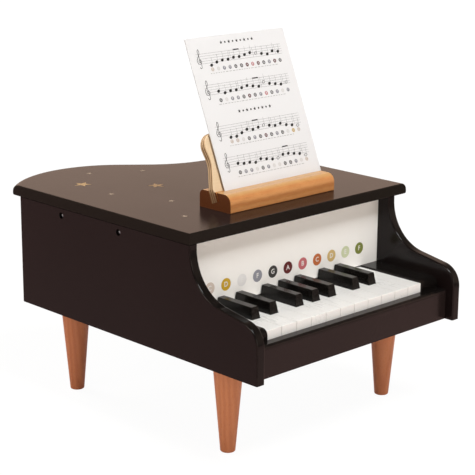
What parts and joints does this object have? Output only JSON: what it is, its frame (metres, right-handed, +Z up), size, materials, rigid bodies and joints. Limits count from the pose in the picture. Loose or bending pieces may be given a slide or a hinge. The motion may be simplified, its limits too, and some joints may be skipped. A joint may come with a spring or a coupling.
{
  "type": "toy piano",
  "caption": "Small toy grand piano: dark painted case with a curved lid, keys that work hammers under steel tone bars, tapered beech legs, and a music stand with a song card.",
  "frame": {"origin": "on the floor, under the middle of the part's box", "axes": "+Z up, -Y towards the player, +X towards the high notes"},
  "size_m": [0.322, 0.4096, 0.3935],
  "materials": {
    "case_paint": "satin dark brown paint",
    "panel_white": "satin white paint",
    "beech": "clear satin lacquer",
    "pale_beech": "clear satin lacquer",
    "inner_wood": "plain planed wood",
    "key_white": "gloss white lacquer",
    "key_black": "satin black paint",
    "steel": "drawn steel",
    "screw_steel": "blackened steel",
    "felt": "pressed wool felt",
    "card": "printed matt card"
  },
  "bodies": {
    "case": {"left_side_panel": "case_paint", "right_side_panel": "case_paint", "rim": "case_paint", "bottom_board": "case_paint", "lid": "case_paint", "front_rail": "case_paint", "left_cheek_block": "case_paint", "right_cheek_block": "case_paint", "name_panel": "panel_white", "rear_left_leg": "beech", "front_left_leg": "beech", "front_right_leg": "beech", "leg_studs": "steel", "key_rod": "steel", "hammer_rod": "steel", "key_battens": "inner_wood", "felt_strips": "felt", "tone_bar_rails": "inner_wood", "tone_bars": "steel", "tone_bar_pins": "steel", "panel_screws": "screw_steel", "stand_base": "beech", "stand_backrest": "pale_beech"},
    "key_c1": {"key_c1": "key_white"},
    "hammer_c1": {"hammer_c1": "inner_wood"},
    "key_c1_sharp": {"key_c1_sharp": "key_black"},
    "hammer_c1_sharp": {"hammer_c1_sharp": "inner_wood"},
    "key_d1": {"key_d1": "key_white"},
    "hammer_d1": {"hammer_d1": "inner_wood"},
    "key_d1_sharp": {"key_d1_sharp": "key_black"},
    "hammer_d1_sharp": {"hammer_d1_sharp": "inner_wood"},
    "key_e1": {"key_e1": "key_white"},
    "hammer_e1": {"hammer_e1": "inner_wood"},
    "key_f1": {"key_f1": "key_white"},
    "hammer_f1": {"hammer_f1": "inner_wood"},
    "key_f1_sharp": {"key_f1_sharp": "key_black"},
    "hammer_f1_sharp": {"hammer_f1_sharp": "inner_wood"},
    "key_g1": {"key_g1": "key_white"},
    "hammer_g1": {"hammer_g1": "inner_wood"},
    "key_g1_sharp": {"key_g1_sharp": "key_black"},
    "hammer_g1_sharp": {"hammer_g1_sharp": "inner_wood"},
    "key_a1": {"key_a1": "key_white"},
    "hammer_a1": {"hammer_a1": "inner_wood"},
    "key_a1_sharp": {"key_a1_sharp": "key_black"},
    "hammer_a1_sharp": {"hammer_a1_sharp": "inner_wood"},
    "key_b1": {"key_b1": "key_white"},
    "hammer_b1": {"hammer_b1": "inner_wood"},
    "key_c2": {"key_c2": "key_white"},
    "hammer_c2": {"hammer_c2": "inner_wood"},
    "key_c2_sharp": {"key_c2_sharp": "key_black"},
    "hammer_c2_sharp": {"hammer_c2_sharp": "inner_wood"},
    "key_d2": {"key_d2": "key_white"},
    "hammer_d2": {"hammer_d2": "inner_wood"},
    "key_d2_sharp": {"key_d2_sharp": "key_black"},
    "hammer_d2_sharp": {"hammer_d2_sharp": "inner_wood"},
    "key_e2": {"key_e2": "key_white"},
    "hammer_e2": {"hammer_e2": "inner_wood"},
    "key_f2": {"key_f2": "key_white"},
    "hammer_f2": {"hammer_f2": "inner_wood"},
    "song_card": {"song_card": "card"}
  },
  "joints": [
    {"name": "key_c1_press", "type": "hinge", "parent": "case", "child": "key_c1", "pos_m": [-0.11873, -0.05477, 0.128], "axis": [1, 0, 0], "range_deg": [0, 2.73], "stiffness_Nm_per_rad": 0.4, "springref_deg": -8.59},
    {"name": "key_c1_sharp_press", "type": "hinge", "parent": "case", "child": "key_c1_sharp", "pos_m": [-0.10612, -0.05477, 0.128], "axis": [1, 0, 0], "range_deg": [0, 2.73], "stiffness_Nm_per_rad": 0.4, "springref_deg": -8.59},
    {"name": "key_d1_press", "type": "hinge", "parent": "case", "child": "key_d1", "pos_m": [-0.0935, -0.05477, 0.128], "axis": [1, 0, 0], "range_deg": [0, 2.73], "stiffness_Nm_per_rad": 0.4, "springref_deg": -8.59},
    {"name": "key_d1_sharp_press", "type": "hinge", "parent": "case", "child": "key_d1_sharp", "pos_m": [-0.08088, -0.05477, 0.128], "axis": [1, 0, 0], "range_deg": [0, 2.73], "stiffness_Nm_per_rad": 0.4, "springref_deg": -8.59},
    {"name": "key_e1_press", "type": "hinge", "parent": "case", "child": "key_e1", "pos_m": [-0.06827, -0.05477, 0.128], "axis": [1, 0, 0], "range_deg": [0, 2.73], "stiffness_Nm_per_rad": 0.4, "springref_deg": -8.59},
    {"name": "key_f1_press", "type": "hinge", "parent": "case", "child": "key_f1", "pos_m": [-0.05626, -0.05477, 0.128], "axis": [1, 0, 0], "range_deg": [0, 2.73], "stiffness_Nm_per_rad": 0.4, "springref_deg": -8.59},
    {"name": "key_f1_sharp_press", "type": "hinge", "parent": "case", "child": "key_f1_sharp", "pos_m": [-0.04417, -0.05477, 0.128], "axis": [1, 0, 0], "range_deg": [0, 2.73], "stiffness_Nm_per_rad": 0.4, "springref_deg": -8.59},
    {"name": "key_g1_press", "type": "hinge", "parent": "case", "child": "key_g1", "pos_m": [-0.03209, -0.05477, 0.128], "axis": [1, 0, 0], "range_deg": [0, 2.73], "stiffness_Nm_per_rad": 0.4, "springref_deg": -8.59},
    {"name": "key_g1_sharp_press", "type": "hinge", "parent": "case", "child": "key_g1_sharp", "pos_m": [-0.02, -0.05477, 0.128], "axis": [1, 0, 0], "range_deg": [0, 2.73], "stiffness_Nm_per_rad": 0.4, "springref_deg": -8.59},
    {"name": "key_a1_press", "type": "hinge", "parent": "case", "child": "key_a1", "pos_m": [-0.00791, -0.05477, 0.128], "axis": [1, 0, 0], "range_deg": [0, 2.73], "stiffness_Nm_per_rad": 0.4, "springref_deg": -8.59},
    {"name": "key_a1_sharp_press", "type": "hinge", "parent": "case", "child": "key_a1_sharp", "pos_m": [0.00417, -0.05477, 0.128], "axis": [1, 0, 0], "range_deg": [0, 2.73], "stiffness_Nm_per_rad": 0.4, "springref_deg": -8.59},
    {"name": "key_b1_press", "type": "hinge", "parent": "case", "child": "key_b1", "pos_m": [0.01626, -0.05477, 0.128], "axis": [1, 0, 0], "range_deg": [0, 2.73], "stiffness_Nm_per_rad": 0.4, "springref_deg": -8.59},
    {"name": "key_c2_press", "type": "hinge", "parent": "case", "child": "key_c2", "pos_m": [0.02827, -0.05477, 0.128], "axis": [1, 0, 0], "range_deg": [0, 2.73], "stiffness_Nm_per_rad": 0.4, "springref_deg": -8.59},
    {"name": "key_c2_sharp_press", "type": "hinge", "parent": "case", "child": "key_c2_sharp", "pos_m": [0.04088, -0.05477, 0.128], "axis": [1, 0, 0], "range_deg": [0, 2.73], "stiffness_Nm_per_rad": 0.4, "springref_deg": -8.59},
    {"name": "key_d2_press", "type": "hinge", "parent": "case", "child": "key_d2", "pos_m": [0.0535, -0.05477, 0.128], "axis": [1, 0, 0], "range_deg": [0, 2.73], "stiffness_Nm_per_rad": 0.4, "springref_deg": -8.59},
    {"name": "key_d2_sharp_press", "type": "hinge", "parent": "case", "child": "key_d2_sharp", "pos_m": [0.06612, -0.05477, 0.128], "axis": [1, 0, 0], "range_deg": [0, 2.73], "stiffness_Nm_per_rad": 0.4, "springref_deg": -8.59},
    {"name": "key_e2_press", "type": "hinge", "parent": "case", "child": "key_e2", "pos_m": [0.07873, -0.05477, 0.128], "axis": [1, 0, 0], "range_deg": [0, 2.73], "stiffness_Nm_per_rad": 0.4, "springref_deg": -8.59},
    {"name": "key_f2_press", "type": "hinge", "parent": "case", "child": "key_f2", "pos_m": [0.0955, -0.05477, 0.128], "axis": [1, 0, 0], "range_deg": [0, 2.73], "stiffness_Nm_per_rad": 0.4, "springref_deg": -8.59},
    {"name": "hammer_c1_swing", "type": "hinge", "parent": "case", "child": "hammer_c1", "pos_m": [-0.11873, -0.00877, 0.152], "axis": [1, 0, 0], "range_deg": [0, 9.7]},
    {"name": "hammer_c1_sharp_swing", "type": "hinge", "parent": "case", "child": "hammer_c1_sharp", "pos_m": [-0.10612, -0.00877, 0.152], "axis": [1, 0, 0], "range_deg": [0, 9.7]},
    {"name": "hammer_d1_swing", "type": "hinge", "parent": "case", "child": "hammer_d1", "pos_m": [-0.0935, -0.00877, 0.152], "axis": [1, 0, 0], "range_deg": [0, 9.7]},
    {"name": "hammer_d1_sharp_swing", "type": "hinge", "parent": "case", "child": "hammer_d1_sharp", "pos_m": [-0.08088, -0.00877, 0.152], "axis": [1, 0, 0], "range_deg": [0, 9.7]},
    {"name": "hammer_e1_swing", "type": "hinge", "parent": "case", "child": "hammer_e1", "pos_m": [-0.06827, -0.00877, 0.152], "axis": [1, 0, 0], "range_deg": [0, 9.7]},
    {"name": "hammer_f1_swing", "type": "hinge", "parent": "case", "child": "hammer_f1", "pos_m": [-0.05626, -0.00877, 0.152], "axis": [1, 0, 0], "range_deg": [0, 9.7]},
    {"name": "hammer_f1_sharp_swing", "type": "hinge", "parent": "case", "child": "hammer_f1_sharp", "pos_m": [-0.04417, -0.00877, 0.152], "axis": [1, 0, 0], "range_deg": [0, 9.7]},
    {"name": "hammer_g1_swing", "type": "hinge", "parent": "case", "child": "hammer_g1", "pos_m": [-0.03209, -0.00877, 0.152], "axis": [1, 0, 0], "range_deg": [0, 9.7]},
    {"name": "hammer_g1_sharp_swing", "type": "hinge", "parent": "case", "child": "hammer_g1_sharp", "pos_m": [-0.02, -0.00877, 0.152], "axis": [1, 0, 0], "range_deg": [0, 9.7]},
    {"name": "hammer_a1_swing", "type": "hinge", "parent": "case", "child": "hammer_a1", "pos_m": [-0.00791, -0.00877, 0.152], "axis": [1, 0, 0], "range_deg": [0, 9.7]},
    {"name": "hammer_a1_sharp_swing", "type": "hinge", "parent": "case", "child": "hammer_a1_sharp", "pos_m": [0.00417, -0.00877, 0.152], "axis": [1, 0, 0], "range_deg": [0, 9.7]},
    {"name": "hammer_b1_swing", "type": "hinge", "parent": "case", "child": "hammer_b1", "pos_m": [0.01626, -0.00877, 0.152], "axis": [1, 0, 0], "range_deg": [0, 9.7]},
    {"name": "hammer_c2_swing", "type": "hinge", "parent": "case", "child": "hammer_c2", "pos_m": [0.02827, -0.00877, 0.152], "axis": [1, 0, 0], "range_deg": [0, 9.7]},
    {"name": "hammer_c2_sharp_swing", "type": "hinge", "parent": "case", "child": "hammer_c2_sharp", "pos_m": [0.04088, -0.00877, 0.152], "axis": [1, 0, 0], "range_deg": [0, 9.7]},
    {"name": "hammer_d2_swing", "type": "hinge", "parent": "case", "child": "hammer_d2", "pos_m": [0.0535, -0.00877, 0.152], "axis": [1, 0, 0], "range_deg": [0, 9.7]},
    {"name": "hammer_d2_sharp_swing", "type": "hinge", "parent": "case", "child": "hammer_d2_sharp", "pos_m": [0.06612, -0.00877, 0.152], "axis": [1, 0, 0], "range_deg": [0, 9.7]},
    {"name": "hammer_e2_swing", "type": "hinge", "parent": "case", "child": "hammer_e2", "pos_m": [0.07873, -0.00877, 0.152], "axis": [1, 0, 0], "range_deg": [0, 9.7]},
    {"name": "hammer_f2_swing", "type": "hinge", "parent": "case", "child": "hammer_f2", "pos_m": [0.0955, -0.00877, 0.152], "axis": [1, 0, 0], "range_deg": [0, 9.7]},
    {"name": "song_card_lift", "type": "slide", "parent": "case", "child": "song_card", "axis": [0, 0.3811, 0.9245], "range_m": [0, 0.012]}
  ],
  "couplings": [
    {"joint": "hammer_c1_swing", "follows": "key_c1_press", "ratio": 3.5556},
    {"joint": "hammer_c1_sharp_swing", "follows": "key_c1_sharp_press", "ratio": 3.5556},
    {"joint": "hammer_d1_swing", "follows": "key_d1_press", "ratio": 3.5556},
    {"joint": "hammer_d1_sharp_swing", "follows": "key_d1_sharp_press", "ratio": 3.5556},
    {"joint": "hammer_e1_swing", "follows": "key_e1_press", "ratio": 3.5556},
    {"joint": "hammer_f1_swing", "follows": "key_f1_press", "ratio": 3.5556},
    {"joint": "hammer_f1_sharp_swing", "follows": "key_f1_sharp_press", "ratio": 3.5556},
    {"joint": "hammer_g1_swing", "follows": "key_g1_press", "ratio": 3.5556},
    {"joint": "hammer_g1_sharp_swing", "follows": "key_g1_sharp_press", "ratio": 3.5556},
    {"joint": "hammer_a1_swing", "follows": "key_a1_press", "ratio": 3.5556},
    {"joint": "hammer_a1_sharp_swing", "follows": "key_a1_sharp_press", "ratio": 3.5556},
    {"joint": "hammer_b1_swing", "follows": "key_b1_press", "ratio": 3.5556},
    {"joint": "hammer_c2_swing", "follows": "key_c2_press", "ratio": 3.5556},
    {"joint": "hammer_c2_sharp_swing", "follows": "key_c2_sharp_press", "ratio": 3.5556},
    {"joint": "hammer_d2_swing", "follows": "key_d2_press", "ratio": 3.5556},
    {"joint": "hammer_d2_sharp_swing", "follows": "key_d2_sharp_press", "ratio": 3.5556},
    {"joint": "hammer_e2_swing", "follows": "key_e2_press", "ratio": 3.5556},
    {"joint": "hammer_f2_swing", "follows": "key_f2_press", "ratio": 3.5556}
  ]
}
